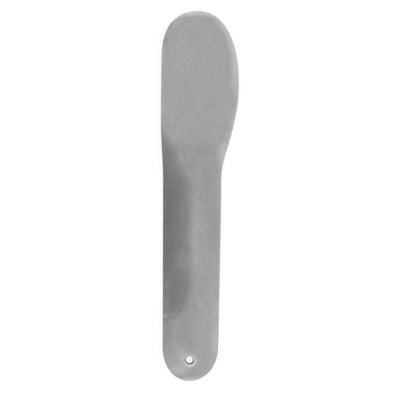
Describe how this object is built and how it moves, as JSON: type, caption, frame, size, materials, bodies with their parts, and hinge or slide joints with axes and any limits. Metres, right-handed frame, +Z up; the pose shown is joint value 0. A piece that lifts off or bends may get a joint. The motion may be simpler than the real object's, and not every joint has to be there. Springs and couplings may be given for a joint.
{
  "type": "tyre lever",
  "caption": "Pressed steel tyre lever with a broad flat paddle head, a handle folded down from a middle crest, and a hanging hole in its flat tail.",
  "frame": {"origin": "middle of the bounding box in X and Y, at its lowest level, where the folded sides of the handle touch the ground", "axes": "+Y along the lever towards its head, +X towards the side where the head bulges, +Z up out of the handle's crest"},
  "size_m": [0.0422, 0.2, 0.0053],
  "materials": {
    "satin_steel": "satin, tumbled, lightly pitted"
  },
  "bodies": {
    "root": {"lever_blade": "satin_steel"}
  },
  "joints": []
}
